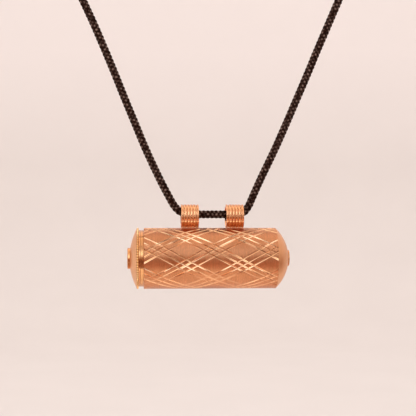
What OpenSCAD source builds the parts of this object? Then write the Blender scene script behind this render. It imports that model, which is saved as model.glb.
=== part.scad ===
// Cylindrical amulet case with a screw cap, hung by two ribbed bails on a
// braided neck cord. +Z is up and the barrel's axis runs along X, with the
// cap at -X. The origin is on the bails' common axis, midway between them.

/* [Barrel] */
// Outer radius of the barrel
barrel_r = 7.85; // [7.6:0.05:8.1]
// Wall thickness of the barrel
barrel_wall = 0.65; // [0.55:0.05:0.75]
// From the middle of the bails to the open mouth
barrel_left = 17.65; // [17:0.05:18.5]
// From the middle of the bails to the closed end
barrel_right = 16.4; // [16:0.05:18]
// From the bails' axis down to the barrel's axis
barrel_drop = 10.8; // [10.6:0.05:11]

/* [Closed end] */
// Rise of the soldered end dome
end_rise = 3.45; // [2.6:0.05:3.6]
// Wall thickness of both domes
dome_wall = 0.6; // [0.5:0.05:0.7]
// Radius of the button on the end dome
end_boss_r = 2.15; // [1.9:0.05:2.8]
// Height of that button above the dome's crown
end_boss_h = 0.14; // [0.12:0.02:0.6]

/* [Screw cap] */
// Rise of the cap's shallow dome
cap_rise = 1.82; // [1.4:0.02:2]
// Radius of the cap's dome where it meets the rim
cap_base_r = 7.6; // [7.4:0.05:7.7]
// Outer radius of the milled rim
rim_r = 7.9; // [7.8:0.05:8.1]
// Width of the milled rim
rim_w = 0.6; // [0.5:0.05:0.8]
// Depth of the milling on the rim
mill_depth = 0.12; // [0.08:0.02:0.16]
// Notches round the milled rim
mill_count = 72; // [48:12:84]
// Radius of the button on the cap
cap_boss_r = 2.75; // [2:0.05:3]
// Height of that button above the cap's crown
cap_boss_h = 0.53; // [0.3:0.01:0.7]
// Outer radius of the polished collar
collar_r = 7.3; // [7.1:0.05:7.5]
// Width of the polished collar
collar_w = 1.2; // [1.1:0.02:1.8]
// Radius of the cap's neck under its thread
neck_r = 6.0; // [5.9:0.05:6.05]
// Wall thickness of the neck
neck_wall = 0.65; // [0.5:0.05:0.8]
// Length of the neck inside the barrel
neck_len = 5.0; // [4.8:0.1:5.2]
// Radial running clearance of the collar on the neck
neck_gap = 0.05; // [0.03:0.01:0.08]
// Pitch of the cap's right-hand thread
pitch = 1.25; // [1.15:0.05:1.3]
// Height of the thread
thread_h = 0.3; // [0.2:0.02:0.32]

/* [Bails] */
// From the middle to the middle of each bail
bail_x = 5.8; // [5.4:0.05:6.4]
// Width of the ribbed strip
bail_w = 4.6; // [4.4:0.05:5]
// Outer radius over the ribs
bail_r = 3.15; // [2.95:0.05:3.2]
// Bore that the cord runs in
bail_bore_r = 2.6; // [2.55:0.01:2.65]
// Depth of the grooves between the ribs
rib_depth = 0.16; // [0.1:0.02:0.2]

/* [Rolled paper] */
// Outer radius of the roll
scroll_r = 3.5; // [3:0.1:3.6]
// Radius of the hole down its middle
scroll_core_r = 1.1; // [0.8:0.1:1.5]
// Length of the roll
scroll_len = 25; // [20:0.5:25]
// Width of the thread tied round it
tie_w = 1.0; // [0.6:0.1:1.4]
// Thickness of that thread
tie_t = 0.3; // [0.2:0.05:0.35]

/* [Neck cord] */
// Diameter of the cord
cord_d = 2.0; // [1.8:0.1:2]
// Length of each end knot
knot_len = 6.4; // [5:0.2:7]
// Radius of each end knot
knot_r = 3.0; // [2.6:0.1:3.2]

/* [Hidden] */
$fn = 96;
axis_z = -barrel_drop;
bore_r = barrel_r - barrel_wall;

// End dome: a spherical cap that stands on the barrel's right edge.
end_sphere_r = (barrel_r * barrel_r + end_rise * end_rise) / (2 * end_rise);

// Stack of the cap along X, from the barrel's mouth outwards.
seat_gap = 0.03;
collar_x1 = -barrel_left - seat_gap;
collar_x0 = collar_x1 - collar_w;
rim_x1 = collar_x0 - seat_gap;
rim_x0 = rim_x1 - rim_w;
cap_sphere_r = (cap_base_r * cap_base_r + cap_rise * cap_rise) / (2 * cap_rise);
neck_x1 = -barrel_left + neck_len;
bush_x1 = neck_x1 + 0.2;

// The roll lies on the floor of the bore, clear by 0.1.
scroll_x = 1.75;
scroll_z = axis_z - (bore_r - scroll_r - tie_t - 0.1);

// Rib centres across the strip, from its middle.
ribs = [-bail_w / 2 + 0.25, -1.14, -0.38, 0.38, 1.14, bail_w / 2 - 0.25];

// Thread: both ridges start at thread_x, half a pitch apart.
thread_x = -barrel_left + 0.85;
thread_turns = 2.75;
thread_gap = 0.12;

// Route of the cord's middle line in the XZ plane, from between the bails
// through one bail and up the taut strand to its end knot and short tail.
route_left = [
    [0, 0.55], [-3.4, 0.55], [-6.2, 0.6], [-8.2, 1.2], [-9.8, 2.8],
    [-11.2, 5.2], [-13.6, 9.8], [-17.1, 17.3], [-19.8, 23.8], [-22.5, 30.3],
    [-25.1, 36.8], [-27.8, 43.3], [-30.6, 49.8], [-33.6, 56.3], [-36.5, 62.7],
    [-39.4, 69]
];
route_right = [
    [0, 0.55], [3.4, 0.55], [6.2, 0.6], [8.2, 1.1], [9.5, 2.7],
    [10.5, 4.9], [12.6, 9.6], [16.3, 17.3], [19.2, 23.8], [22, 30.3],
    [24.8, 36.8], [27.5, 43.3], [30.3, 49.8], [33.1, 56.3], [36, 62.7],
    [38.9, 69]
];

function unit(v) = v / norm(v);

// Smooth curve through the route's points, two steps to each.
function bend(a, b, c, d, t) =
    0.5 * (2 * b + (c - a) * t + (2 * a - 5 * b + 4 * c - d) * t * t
    + (3 * b - a - 3 * c + d) * t * t * t);
function smooth_route(p) =
    let (n = len(p))
    concat([for (i = [0 : n - 2]) for (s = [0 : 1])
        let (before = i == 0 ? 2 * p[0] - p[1] : p[i - 1],
             after = i == n - 2 ? 2 * p[n - 1] - p[n - 2] : p[i + 2],
             q = bend(before, p[i], p[i + 1], after, s / 2))
        [q[0], 0, q[1]]],
        [[p[n - 1][0], 0, p[n - 1][1]]]);

// Round tube swept along a path that lies in the XZ plane.
module swept(path, r, sides = 8) {
    n = len(path);
    points = [for (i = [0 : n - 1])
        let (t = unit(path[min(i + 1, n - 1)] - path[max(i - 1, 0)]),
             across = cross([0, 1, 0], t))
        for (k = [0 : sides - 1])
            let (a = 360 * (k + 0.5) / sides)
            path[i] + r * (cos(a) * across + sin(a) * [0, 1, 0])];
    walls = [for (i = [0 : n - 2]) for (k = [0 : sides - 1])
        let (a = i * sides + k, b = i * sides + (k + 1) % sides,
             c = a + sides, d = b + sides)
        for (f = [[a, c, b], [b, c, d]]) f];
    start = [[for (k = [0 : sides - 1]) k]];
    end = [[for (k = [0 : sides - 1]) (n - 1) * sides + sides - 1 - k]];
    polyhedron(points, concat(walls, start, end));
}

// Cylinder along X from x0 to x1, on the barrel's axis.
module along(x0, x1, r) {
    translate([x0, 0, axis_z]) rotate([0, 90, 0]) cylinder(h = x1 - x0, r = r);
}

module on_axis(x) {
    translate([x, 0, axis_z]) children();
}

// Turned piece on the barrel's axis: the outline gives radius and height
// above the plane at x, and way is the side it stands on.
module turned(outline, x, way) {
    translate([x, 0, axis_z]) rotate([0, 90, 0]) rotate_extrude()
        polygon([for (q = outline) [q[0], way * q[1]]]);
}

// Height of a spherical cap of radius ball and the given rise, at radius r.
function crown(ball, rise, r) = sqrt(ball * ball - r * r) - (ball - rise);
function steps(from, to, n) = [for (i = [0 : n]) from + (to - from) * i / n];

// Outline of a domed shell, with a point of its crown at the button's edge.
function shell_outline(ball, rise, base, boss) =
    let (inner = ball - dome_wall,
         inner_base = sqrt(inner * inner - (ball - rise) * (ball - rise)))
    concat(
        [for (r = steps(0, boss, 3)) [r, crown(ball, rise, r)]],
        [for (i = [1 : 10]) let (r = boss + (base - boss) * i / 10)
            [r, i == 10 ? 0 : crown(ball, rise, r)]],
        [for (i = [0 : 10]) let (r = inner_base * (10 - i) / 10)
            [r, i == 0 ? 0 : sqrt(inner * inner - r * r) - (ball - rise)]]);

// Outline of a button that sits on that crown, its edge eased.
function boss_outline(ball, rise, boss, high) =
    let (top = rise + high, ease = 0.14)
    concat(
        [for (r = steps(0, boss, 3)) [r, crown(ball, rise, r)]],
        [for (a = [0 : 30 : 90])
            [boss - ease + ease * cos(a), top - ease + ease * sin(a)]],
        [[0, top]]);

module cord_left() {
    color([0.09, 0.06, 0.05]) swept(smooth_route(route_left), cord_d / 2);
}

module cord_right() {
    color([0.09, 0.06, 0.05]) swept(smooth_route(route_right), cord_d / 2);
}

// Barrel knot with rounded ends, tied round the cord at one route point.
module end_knot(at, after) {
    soft = 1.2;
    lean = atan2(after[0] - at[0], after[1] - at[1]);
    corner = [for (a = [0 : 15 : 90])
        [knot_r - soft + soft * cos(a), knot_len / 2 - soft + soft * sin(a)]];
    outline = concat([[0, -knot_len / 2]],
        [for (k = [6 : -1 : 0]) [corner[k][0], -corner[k][1]]],
        corner, [[0, knot_len / 2]]);
    color([0.09, 0.06, 0.05])
    translate([at[0], 0, at[1]]) rotate([0, lean, 0])
        rotate_extrude() polygon(outline);
}

module knot_left() {
    end_knot(route_left[14], route_left[15]);
}

module knot_right() {
    end_knot(route_right[14], route_right[15]);
}

module barrel_tube() {
    color([0.78, 0.46, 0.30])
    difference() {
        along(-barrel_left, barrel_right, barrel_r);
        along(-barrel_left - 1, barrel_right + 1, bore_r);
    }
}

// Helical ridge of a right-hand thread on the barrel's axis. It grows from
// root towards crest and fades out over the last quarter turn at each end.
module ridge(x0, root, crest, per = 24) {
    n = round(thread_turns * per);
    wide = 0.6;
    thin = 0.22;
    points = [for (i = [0 : n])
        let (a = 360 * i / per, x = x0 + pitch * i / per,
             f = max(0.05, min(1, min(i, n - i) / (per / 4))),
             tip = root + (crest - root) * f)
        for (q = [[root, -wide / 2], [tip, -thin / 2], [tip, thin / 2], [root, wide / 2]])
            [x + q[1], q[0] * cos(a), q[0] * sin(a)]];
    out = crest > root;
    walls = [for (i = [0 : n - 1]) for (k = [0 : 3])
        let (a = i * 4 + k, b = i * 4 + (k + 1) % 4, c = a + 4, d = b + 4)
        for (f = out ? [[a, b, c], [b, d, c]] : [[a, c, b], [b, c, d]]) f];
    ends = out ? [[3, 2, 1, 0], [for (k = [0 : 3]) n * 4 + k]]
               : [[0, 1, 2, 3], [for (k = [3 : -1 : 0]) n * 4 + k]];
    on_axis(0) polyhedron(points, concat(walls, ends));
}

// Bush in the mouth of the barrel, threaded for the cap's neck.
module mouth_bush() {
    color([0.80, 0.52, 0.32])
    union() {
        difference() {
            along(-barrel_left, bush_x1, bore_r);
            along(-barrel_left - 1, bush_x1 + 1, neck_r + thread_h + thread_gap);
        }
        ridge(thread_x + pitch / 2, neck_r + thread_h + 0.3, neck_r + 0.14);
    }
}

module end_dome() {
    color([0.80, 0.49, 0.32])
    turned(shell_outline(end_sphere_r, end_rise, barrel_r, end_boss_r), barrel_right, 1);
}

module end_boss() {
    color([0.80, 0.49, 0.32])
    turned(boss_outline(end_sphere_r, end_rise, end_boss_r, end_boss_h), barrel_right, 1);
}

// Ring of ribbed strip round the cord, cut to sit on the barrel.
module bail(x) {
    low = bail_r - rib_depth;
    outline = concat(
        [[bail_bore_r, -bail_w / 2], [low, -bail_w / 2]],
        [for (c = ribs) for (q = [[low, -0.24], [bail_r, -0.12], [bail_r, 0.12], [low, 0.24]])
            [q[0], c + q[1]]],
        [[low, bail_w / 2], [bail_bore_r, bail_w / 2]]);
    difference() {
        translate([x, 0, 0]) rotate([0, 90, 0]) rotate_extrude() polygon(outline);
        along(-barrel_left, barrel_right, barrel_r);
    }
}

module bail_left() {
    color([0.82, 0.50, 0.31]) bail(-bail_x);
}

module bail_right() {
    color([0.82, 0.50, 0.31]) bail(bail_x);
}

module cap_collar() {
    color([0.86, 0.58, 0.34])
    difference() {
        along(collar_x0, collar_x1, collar_r);
        along(collar_x0 - 1, collar_x1 + 1, neck_r + neck_gap);
    }
}

// Threaded sleeve that screws into the mouth of the barrel.
module cap_neck() {
    color([0.80, 0.52, 0.32])
    difference() {
        union() {
            along(rim_x0, neck_x1, neck_r);
            ridge(thread_x, neck_r - 0.1, neck_r + thread_h);
        }
        along(rim_x0 - 1, neck_x1 + 1, neck_r - neck_wall);
    }
}

// Rim between the dome and the collar, milled round its edge.
module cap_rim() {
    color([0.84, 0.54, 0.34])
    difference() {
        along(rim_x0, rim_x1, rim_r);
        along(rim_x0 - 1, rim_x1 + 1, neck_r);
        for (k = [0 : mill_count - 1])
            on_axis(rim_x0 - 1) rotate([360 * k / mill_count, 0, 0])
                translate([0, 0, rim_r + 0.08]) rotate([0, 90, 0])
                    cylinder(h = rim_w + 2, r = mill_depth + 0.08, $fn = 24);
    }
}

module cap_dome() {
    color([0.82, 0.53, 0.36])
    turned(shell_outline(cap_sphere_r, cap_rise, cap_base_r, cap_boss_r), rim_x0, -1);
}

module cap_boss() {
    color([0.82, 0.53, 0.36])
    turned(boss_outline(cap_sphere_r, cap_rise, cap_boss_r, cap_boss_h), rim_x0, -1);
}

module roll_piece(x0, x1, inner, outer) {
    translate([x0, 0, scroll_z]) rotate([0, 90, 0]) difference() {
        cylinder(h = x1 - x0, r = outer);
        translate([0, 0, -1]) cylinder(h = x1 - x0 + 2, r = inner);
    }
}

module paper_scroll() {
    color([0.90, 0.85, 0.72])
    roll_piece(scroll_x - scroll_len / 2, scroll_x + scroll_len / 2, scroll_core_r, scroll_r);
}

module scroll_tie() {
    color([0.55, 0.16, 0.14])
    roll_piece(scroll_x - tie_w / 2, scroll_x + tie_w / 2, scroll_r, scroll_r + tie_t);
}

cord_left();
cord_right();
knot_left();
knot_right();
barrel_tube();
mouth_bush();
end_dome();
end_boss();
bail_left();
bail_right();
cap_collar();
cap_neck();
cap_rim();
cap_dome();
cap_boss();
paper_scroll();
scroll_tie();
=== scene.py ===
"""Looks of the cylindrical amulet pendant: engraved barrel, screw cap, ribbed bails,
braided neck cord, and the rolled paper inside. Lengths below are in millimetres in
the part's own frame, and every mesh is scaled to metres as it is made."""

import math
import random

import bmesh
import bpy
import numpy as np
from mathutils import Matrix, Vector


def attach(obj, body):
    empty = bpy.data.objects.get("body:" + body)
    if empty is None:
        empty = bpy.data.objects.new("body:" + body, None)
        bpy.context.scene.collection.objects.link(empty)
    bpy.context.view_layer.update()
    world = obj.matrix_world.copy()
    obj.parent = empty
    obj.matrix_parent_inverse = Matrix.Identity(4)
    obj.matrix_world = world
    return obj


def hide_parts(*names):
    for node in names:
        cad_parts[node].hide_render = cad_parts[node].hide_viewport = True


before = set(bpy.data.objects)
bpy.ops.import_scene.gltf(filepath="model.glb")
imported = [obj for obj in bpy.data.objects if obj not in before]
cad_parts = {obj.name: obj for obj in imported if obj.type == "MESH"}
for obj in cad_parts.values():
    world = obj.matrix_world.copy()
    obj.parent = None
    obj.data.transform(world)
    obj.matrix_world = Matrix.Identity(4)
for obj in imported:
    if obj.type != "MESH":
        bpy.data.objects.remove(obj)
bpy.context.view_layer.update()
scene = bpy.context.scene
MM = 0.001
TAU = 2 * math.pi

# ------------------------------------------------------------------ dimensions
AXIS_Z = -10.8  # the barrel's axis, below the bails' axis
BARREL_R, BORE_R = 7.85, 7.2
BARREL_X0, BARREL_X1 = -17.65, 16.4
END_RISE = 3.45
END_BALL = (BARREL_R**2 + END_RISE**2) / (2 * END_RISE)
COLLAR_X0, COLLAR_X1, COLLAR_R, COLLAR_BORE = -18.88, -17.68, 7.3, 6.05
RIM_X0, RIM_X1, RIM_R = -19.51, -18.91, 7.9
CAP_BASE, CAP_RISE = 7.6, 1.82
CAP_BALL = (CAP_BASE**2 + CAP_RISE**2) / (2 * CAP_RISE)
NECK_R, NECK_IN, NECK_X1 = 6.0, 5.35, -12.65
PITCH, THREAD_X, THREAD_TURNS = 1.25, -16.8, 2.75
BUSH_X1, BUSH_BORE = -12.45, 6.42
BAIL_X, BAIL_W, BAIL_R, BAIL_BORE = 5.8, 4.6, 3.15, 2.6
SCROLL_X, SCROLL_LEN, SCROLL_R, SCROLL_Z = 1.75, 25.0, 3.5, -14.1

# Route of the cord's middle line in the XZ plane, as in the solid model.
ROUTE_LEFT = [
    (0, 0.55), (-3.4, 0.55), (-6.2, 0.6), (-8.2, 1.2), (-9.8, 2.8), (-11.2, 5.2),
    (-13.6, 9.8), (-17.1, 17.3), (-19.8, 23.8), (-22.5, 30.3), (-25.1, 36.8),
    (-27.8, 43.3), (-30.6, 49.8), (-33.6, 56.3), (-36.5, 62.7), (-39.4, 69),
]
ROUTE_RIGHT = [
    (0, 0.55), (3.4, 0.55), (6.2, 0.6), (8.2, 1.1), (9.5, 2.7), (10.5, 4.9),
    (12.6, 9.6), (16.3, 17.3), (19.2, 23.8), (22, 30.3), (24.8, 36.8),
    (27.5, 43.3), (30.3, 49.8), (33.1, 56.3), (36, 62.7), (38.9, 69),
]

# ---------------------------------------------------------------------- camera
AZ = math.radians(-3.6)
DIST = 262.0
AIM = Vector((-1.04, 0.0, 2.2))
cam_data = bpy.data.cameras.new("camera")
cam_data.lens = 87.5
cam_data.sensor_width = 36.0
cam = bpy.data.objects.new("camera", cam_data)
scene.collection.objects.link(cam)
back = Vector((math.sin(AZ), -math.cos(AZ), 0.0))
cam.location = (AIM + DIST * back) * MM
cam.rotation_mode = "QUATERNION"
cam.rotation_quaternion = (-back).to_track_quat("-Z", "Y")
cam_data.clip_start, cam_data.clip_end = 0.01, 20.0
scene.camera = cam
scene.view_settings.view_transform = "Standard"
scene.view_settings.look = "None"


# ------------------------------------------------------------------- materials
class Tree:
    """Short way to add and join shader nodes."""

    def __init__(self, name):
        self.mat = bpy.data.materials.new(name)
        self.mat.use_nodes = True
        self.nt = self.mat.node_tree
        self.bsdf = self.nt.nodes["Principled BSDF"]

    def node(self, kind, **settings):
        n = self.nt.nodes.new(kind)
        for key, value in settings.items():
            setattr(n, key, value)
        return n

    def put(self, socket, value):
        if isinstance(value, bpy.types.NodeSocket):
            self.nt.links.new(value, socket)
        else:
            socket.default_value = value

    def coords(self, sx, sy, sz, shift=(0, 0, 0)):
        """Object coordinates in millimetres, times a frequency for each axis."""
        tc = self.node("ShaderNodeTexCoord")
        mp = self.node("ShaderNodeMapping")
        mp.inputs["Scale"].default_value = (1000 * sx, 1000 * sy, 1000 * sz)
        mp.inputs["Location"].default_value = shift
        self.put(mp.inputs["Vector"], tc.outputs["Object"])
        return mp.outputs["Vector"]

    def noise(self, vector, scale=1.0, detail=3.0, rough=0.55):
        n = self.node("ShaderNodeTexNoise")
        self.put(n.inputs["Vector"], vector)
        n.inputs["Scale"].default_value = scale
        n.inputs["Detail"].default_value = detail
        n.inputs["Roughness"].default_value = rough
        return n.outputs["Fac"]

    def ramp(self, fac, stops, smooth=False):
        r = self.node("ShaderNodeValToRGB")
        if smooth:
            r.color_ramp.interpolation = "EASE"
        while len(r.color_ramp.elements) < len(stops):
            r.color_ramp.elements.new(0.5)
        for e, (pos, col) in zip(r.color_ramp.elements, stops):
            e.position = pos
            e.color = (*col, 1.0) if len(col) == 3 else col
        self.put(r.inputs["Fac"], fac)
        return r.outputs["Color"]

    def span(self, fac, lo, hi, a=0.0, b=1.0):
        m = self.node("ShaderNodeMapRange")
        self.put(m.inputs["Value"], fac)
        m.inputs["From Min"].default_value = a
        m.inputs["From Max"].default_value = b
        m.inputs["To Min"].default_value = lo
        m.inputs["To Max"].default_value = hi
        return m.outputs["Result"]

    def math(self, op, a, b=0.0):
        m = self.node("ShaderNodeMath", operation=op)
        self.put(m.inputs[0], a)
        self.put(m.inputs[1], b)
        return m.outputs[0]

    def mix(self, fac, a, b, blend="MIX"):
        m = self.node("ShaderNodeMix", data_type="RGBA", blend_type=blend)
        self.put(m.inputs[0], fac)
        self.put(m.inputs[6], a if isinstance(a, bpy.types.NodeSocket) else (*a, 1.0))
        self.put(m.inputs[7], b if isinstance(b, bpy.types.NodeSocket) else (*b, 1.0))
        return m.outputs[2]

    def bump(self, height, strength, distance, under=None):
        b = self.node("ShaderNodeBump")
        b.inputs["Strength"].default_value = strength
        b.inputs["Distance"].default_value = distance * MM
        self.put(b.inputs["Height"], height)
        if under is not None:
            self.put(b.inputs["Normal"], under)
        return b.outputs["Normal"]

    def set(self, **sockets):
        names = {
            "color": "Base Color", "metal": "Metallic", "rough": "Roughness",
            "normal": "Normal", "sheen": "Sheen Weight", "ior": "IOR",
            "spec": "Specular IOR Level", "coat": "Coat Weight",
            "coat_rough": "Coat Roughness", "sss": "Subsurface Weight",
            "sheen_rough": "Sheen Roughness", "aniso": "Anisotropic",
        }
        for key, value in sockets.items():
            if key == "color" and not isinstance(value, bpy.types.NodeSocket):
                value = (*value, 1.0)
            self.put(self.bsdf.inputs[names[key]], value)
        return self.mat


def copper(name, light, deep, rough, streak, bump, mottle=0.55, brushed=0.0, rings=0.0, shade=(0.90, 1.06),
           under=None):
    """Copper with slow mottling, rubbing marks and a soft uneven polish, and painted shade: dark brown in the hollows
    that a point attribute marks.

    streak gives the marks' frequency along each axis, and rings that of turning marks
    round the barrel's axis instead. brushed stretches the gloss across round-going marks.
    under is the colour that a shallow cut fades out to; the bottom of a cut is painted dark as shade.
    """
    t = Tree(name)
    slow = t.noise(t.coords(0.16, 0.16, 0.16, (3.1, 1.7, 0.4)), 1.0, 4.0, 0.6)
    fine = t.noise(t.coords(1.3, 1.3, 1.3), 1.0, 5.0, 0.65)
    if rings:
        away = t.node("ShaderNodeVectorMath", operation="LENGTH")
        t.put(away.inputs[0], t.coords(0.0, 1.0, 1.0, (0.0, 0.0, -AXIS_Z)))
        turned = t.node("ShaderNodeTexNoise", noise_dimensions="1D")
        t.put(turned.inputs["W"], away.outputs["Value"])
        turned.inputs["Scale"].default_value = rings
        turned.inputs["Detail"].default_value = 4.0
        turned.inputs["Roughness"].default_value = 0.7
        marks = turned.outputs["Fac"]
    else:
        marks = t.noise(t.coords(*streak), 1.0, 4.0, 0.7)
    scuff = t.noise(t.coords(*(q * 0.16 for q in streak), (1.3, 5.7, 2.9)), 1.0, 3.0, 0.65)
    blend = t.math("ADD", t.math("MULTIPLY", slow, mottle), t.math("MULTIPLY", fine, 1 - mottle))
    base = t.ramp(blend, [(0.34, deep), (0.62, light)], True)
    if under:
        cut = t.node("ShaderNodeAttribute", attribute_name="cut").outputs["Fac"]
        base = t.mix(t.span(cut, 0.0, 1.0, 0.35, 1.0), under, base)
        # painted shade: the bottom of each cut is darkened towards dark brown
        cut_bottom_mask = t.node("ShaderNodeAttribute", attribute_name="deep").outputs["Fac"]
        base = t.mix(t.span(cut_bottom_mask, 0.0, 0.7, 0.6, 1.0), base, (0.36, 0.13, 0.06))
    rub = t.math("MULTIPLY", t.span(marks, shade[0], shade[1], 0.3, 0.7),
                 t.span(scuff, 0.5 + 0.5 * shade[0], 0.5 + 0.5 * shade[1], 0.3, 0.7))
    tone = t.node("ShaderNodeCombineColor")
    for i in range(3):
        t.put(tone.inputs[i], rub)
    colour = t.mix(1.0, base, tone.outputs[0], "MULTIPLY")
    # painted shade: hollows that this attribute marks (rib valleys, bead gaps, turned lines) turn dark brown and a
    # little rougher
    hollow_shade = t.node("ShaderNodeAttribute", attribute_name="grime").outputs["Fac"]
    colour = t.mix(hollow_shade, colour, (0.13, 0.055, 0.028))
    gloss = t.math("ADD", t.span(fine, rough * 0.85, rough * 1.2, 0.3, 0.7),
                   t.span(marks, -0.03, 0.04, 0.3, 0.7))
    gloss = t.math("ADD", gloss, t.math("MULTIPLY", hollow_shade, 0.18))
    if under:
        gloss = t.math("ADD", gloss, t.span(cut, 0.26, 0.0, 0.38, 0.76))
    n1 = t.bump(marks, 0.35, bump)
    n2 = t.bump(fine, 0.25, bump * 1.6, n1)
    if brushed:
        around = t.node("ShaderNodeTangent", direction_type="RADIAL", axis="X")
        t.put(t.bsdf.inputs["Tangent"], around.outputs[0])
        t.bsdf.inputs["Anisotropic"].default_value = brushed
        t.bsdf.inputs["Anisotropic Rotation"].default_value = 0.25
    return t.set(color=colour, metal=1.0, rough=gloss, normal=n2)


MAT_LAND = copper("engraved_land", (0.750, 0.301, 0.140), (0.622, 0.233, 0.103), 0.46,
                  (22, 1.6, 1.6), 0.014, mottle=0.45, brushed=0.8, shade=(0.70, 1.13))
MAT_CUT = copper("bright_cut", (0.88, 0.51, 0.285), (0.80, 0.41, 0.205), 0.18,
                 (9, 9, 9), 0.004, 0.3, under=(0.68, 0.285, 0.138))
MAT_SATIN = copper("satin_spun", (0.90, 0.485, 0.243), (0.83, 0.420, 0.196), 0.36,
                   (9, 3, 3), 0.008, rings=3.2, shade=(0.93, 1.05))
# a darker copy of the satin spun copper for the end dome: painted shade
MAT_END_SHADED = copper("satin_end_shaded", (0.84, 0.425, 0.208), (0.77, 0.362, 0.164), 0.36,
                 (9, 3, 3), 0.008, rings=3.2, shade=(0.93, 1.05))
MAT_RIM = copper("milled_edge", (1.0, 0.61, 0.29), (0.97, 0.53, 0.225), 0.13,
                 (8, 8, 8), 0.003)
MAT_TURNED = copper("turned_bright", (0.80, 0.365, 0.155), (0.74, 0.31, 0.122), 0.13,
                    (38, 0.8, 0.8), 0.0008)
MAT_BOSS = copper("button_bright", (0.76, 0.36, 0.155), (0.68, 0.29, 0.112), 0.17,
                  (9, 3, 3), 0.002)
MAT_BAIL = copper("bail_bright", (0.85, 0.398, 0.193), (0.79, 0.338, 0.152), 0.14,
                  (26, 1.1, 1.1), 0.0012)
MAT_SOLDER = copper("solder_seam", (0.92, 0.58, 0.38), (0.78, 0.45, 0.28), 0.46,
                    (3, 3, 3), 0.016, 0.3)
MAT_INSIDE = copper("bore_dull", (0.62, 0.30, 0.16), (0.44, 0.19, 0.095), 0.42,
                    (14, 1.0, 1.0), 0.012)


def cord_material():
    """Dark brown braiding yarn: fine filaments along each yarn, and a paler colour on the crowns that is partly wear
    and partly a painted highlight.
    """
    t = Tree("braid_yarn")
    uv = t.node("ShaderNodeUVMap", uv_map="strand")
    mp = t.node("ShaderNodeMapping")
    mp.inputs["Scale"].default_value = (2.2, 13.0, 1.0)
    t.put(mp.inputs["Vector"], uv.outputs["UV"])
    hair = t.noise(mp.outputs["Vector"], 1.0, 3.0, 0.6)
    spots = t.noise(t.coords(1.1, 1.1, 1.1), 1.0, 2.0, 0.5)
    colour = t.ramp(hair, [(0.30, (0.007, 0.0015, 0.0006)), (0.58, (0.021, 0.0060, 0.0030)),
                           (0.80, (0.056, 0.025, 0.017))])
    top = t.node("ShaderNodeAttribute", attribute_name="crown").outputs["Fac"]
    # painted highlight and wear: the crowns' colour turns pale brown in patches
    wear_and_glint = t.math("MULTIPLY", t.math("POWER", top, 2.0), t.span(spots, 0.0, 1.0, 0.40, 0.62))
    worn_and_glinting = t.mix(wear_and_glint, colour, (0.385, 0.262, 0.218))
    n = t.bump(hair, 0.55, 0.035)
    return t.set(color=worn_and_glinting, metal=0.0, rough=t.span(hair, 0.32, 0.48, 0.3, 0.7), normal=n, spec=0.015)


def plain_noise_material(name, stops, rough, scale, bump, **more):
    t = Tree(name)
    v = t.coords(*scale)
    n = t.noise(v, 1.0, 5.0, 0.6)
    colour = t.ramp(n, stops)
    return t.set(color=colour, metal=0.0, rough=t.span(n, rough - 0.08, rough + 0.08, 0.3, 0.7),
                 normal=t.bump(n, 0.5, bump), **more)


MAT_CORD = cord_material()
MAT_MELT = plain_noise_material("sealed_tip", [(0.3, (0.008, 0.006, 0.005)), (0.7, (0.03, 0.022, 0.02))],
                                0.24, (1.5, 1.5, 1.5), 0.05, spec=0.6)
MAT_PAPER = plain_noise_material("rolled_paper", [(0.32, (0.66, 0.55, 0.38)), (0.5, (0.78, 0.69, 0.52)),
                                                  (0.7, (0.85, 0.78, 0.63))],
                                 0.82, (1.8, 0.9, 0.9), 0.03)
MAT_TIE = plain_noise_material("tie_thread", [(0.35, (0.20, 0.018, 0.016)), (0.65, (0.40, 0.05, 0.04))],
                               0.7, (9, 3, 3), 0.03, sheen=0.4)


# ----------------------------------------------------------------- mesh making
def add_mesh(name, verts, faces, mats, tags=None, sharp=None, outward=True, **point_values):
    """Links a mesh object made from millimetre points. tags give each face's material."""
    me = bpy.data.meshes.new(name)
    me.from_pydata((np.asarray(verts, float) * MM).tolist(), [], [list(f) for f in faces])
    for m in mats:
        me.materials.append(m)
    if tags is not None:
        me.polygons.foreach_set("material_index", np.asarray(tags, np.int32))
    if outward:
        bm = bmesh.new()
        bm.from_mesh(me)
        bmesh.ops.recalc_face_normals(bm, faces=bm.faces)
        bm.to_mesh(me)
        bm.free()
    me.shade_smooth()
    if sharp is not None:
        me.set_sharp_from_angle(angle=math.radians(sharp))
    for key, values in point_values.items():
        layer = me.attributes.new(key, "FLOAT", "POINT")
        layer.data.foreach_set("value", np.asarray(values, np.float32))
    me.update()
    ob = bpy.data.objects.new(name, me)
    scene.collection.objects.link(ob)
    return ob


def eased(points, n=4):
    """Closed outline with each corner rounded: points are (x, r, ease)."""
    out = []
    count = len(points)
    for i, (x, r, e) in enumerate(points):
        p = np.array((x, r), float)
        if e <= 0:
            out.append(tuple(p))
            continue
        a = np.array(points[i - 1][:2], float) - p
        b = np.array(points[(i + 1) % count][:2], float) - p
        a *= min(e, 0.45 * np.linalg.norm(a)) / np.linalg.norm(a)
        b *= min(e, 0.45 * np.linalg.norm(b)) / np.linalg.norm(b)
        for k in range(n + 1):
            t = k / n
            out.append(tuple(p + a * (1 - t) ** 2 + b * t**2))
    return out


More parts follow.
